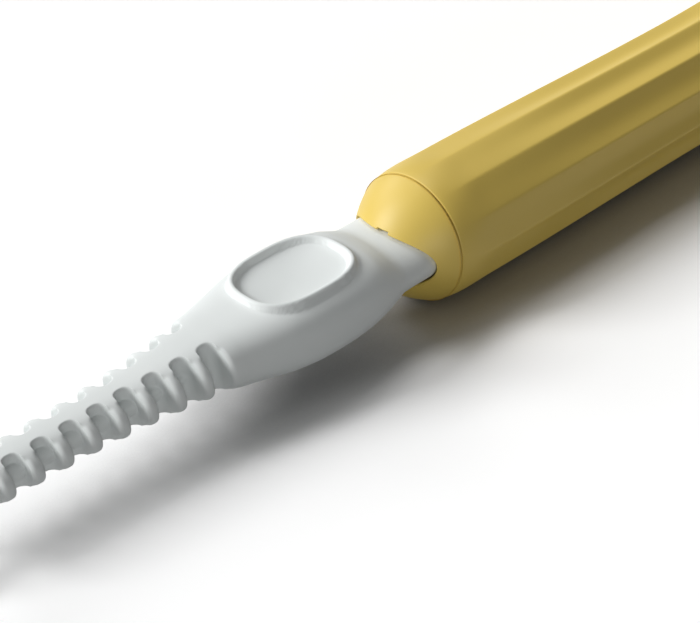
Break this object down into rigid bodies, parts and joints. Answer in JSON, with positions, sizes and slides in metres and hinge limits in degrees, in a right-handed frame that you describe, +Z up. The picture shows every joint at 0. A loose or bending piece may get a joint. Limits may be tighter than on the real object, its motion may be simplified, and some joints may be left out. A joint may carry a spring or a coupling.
{
  "type": "electric toothbrush",
  "caption": "Electric toothbrush with a fluted yellow handle lying on its side, a pull-off brush head, and a white charging plug with a thumb pad and ribbed strain relief in its domed end.",
  "frame": {"origin": "bottom centre of the toothbrush lying on its side, without its lead, on the surface it rests on", "axes": "+X along the handle toward the brush head, +Y across, +Z up, with the button, bristles and thumb pad facing up"},
  "size_m": [0.5126, 0.0326, 0.024],
  "materials": {
    "yellow_plastic": "satin yellow moulding",
    "white_plastic": "satin white moulding",
    "white_tpe": "soft white overmould, satin",
    "frame_plastic": "natural moulding",
    "grey_plastic": "satin grey moulding",
    "black_plastic": "black moulding",
    "black_rubber": "matt silicone rubber",
    "clear_plastic": "clear polycarbonate",
    "board": "green solder mask on fibreglass",
    "cell_wrap": "shrink sleeve",
    "steel": "bright steel",
    "brass": "plated contact brass",
    "copper": "enamelled copper wire",
    "magnet": "nickel-plated sintered magnet",
    "bristle_white": "nylon strands",
    "bristle_yellow": "tinted nylon strands",
    "lead_jacket": "soft white jacket",
    "tie": "hook-and-loop strap"
  },
  "bodies": {
    "handle": {"handle_shell": "yellow_plastic", "end_cap": "yellow_plastic", "cap_o_ring": "black_rubber", "inner_frame": "frame_plastic", "battery_cell": "cell_wrap", "battery_tab_rear": "steel", "battery_tab_front": "steel", "circuit_board": "board", "board_screw_rear": "steel", "board_screw_front": "steel", "tact_switch": "black_plastic", "indicator_led": "clear_plastic", "light_pipe": "clear_plastic", "contact_pin_left": "brass", "contact_pin_right": "brass", "motor_case": "steel", "motor_end_plate": "grey_plastic", "stator_core": "steel", "coil_front": "copper", "coil_rear": "copper", "front_bearing": "brass", "rear_bearing": "brass", "shaft_seal": "black_rubber", "nose_ring": "white_plastic"},
    "button": {"power_button": "white_plastic", "switch_plunger": "grey_plastic"},
    "drive": {"drive_shaft": "steel", "rotor_yoke": "steel", "magnet_upper": "magnet", "magnet_lower": "magnet"},
    "brush_head": {"head_stem": "white_plastic", "head_ring": "yellow_plastic", "head_clip": "steel", "bristles_outer": "bristle_white", "bristles_inner": "bristle_yellow"},
    "charging_lead": {"plug_body": "white_tpe", "plug_insert": "grey_plastic", "plug_contact_left": "brass", "plug_contact_right": "brass", "cord_run": "lead_jacket", "cord_hank": "lead_jacket", "hank_tie": "tie", "usb_overmould": "white_tpe", "usb_shell": "steel", "usb_tongue": "black_plastic"}
  },
  "joints": [
    {"name": "button_press", "type": "slide", "parent": "handle", "child": "button", "axis": [0, 0, -1], "range_m": [0, 0.0007], "stiffness_N_per_m": 400},
    {"name": "drive_oscillation", "type": "hinge", "parent": "handle", "child": "drive", "pos_m": [0, 0, 0.012], "axis": [1, 0, 0], "range_deg": [-5, 5], "stiffness_Nm_per_rad": 0.02},
    {"name": "brush_head_pull_off", "type": "slide", "parent": "drive", "child": "brush_head", "axis": [1, 0, 0], "range_m": [0, 0.025]},
    {"name": "plug_pull_out", "type": "slide", "parent": "handle", "child": "charging_lead", "axis": [-1, 0, 0], "range_m": [0, 0.02]}
  ]
}
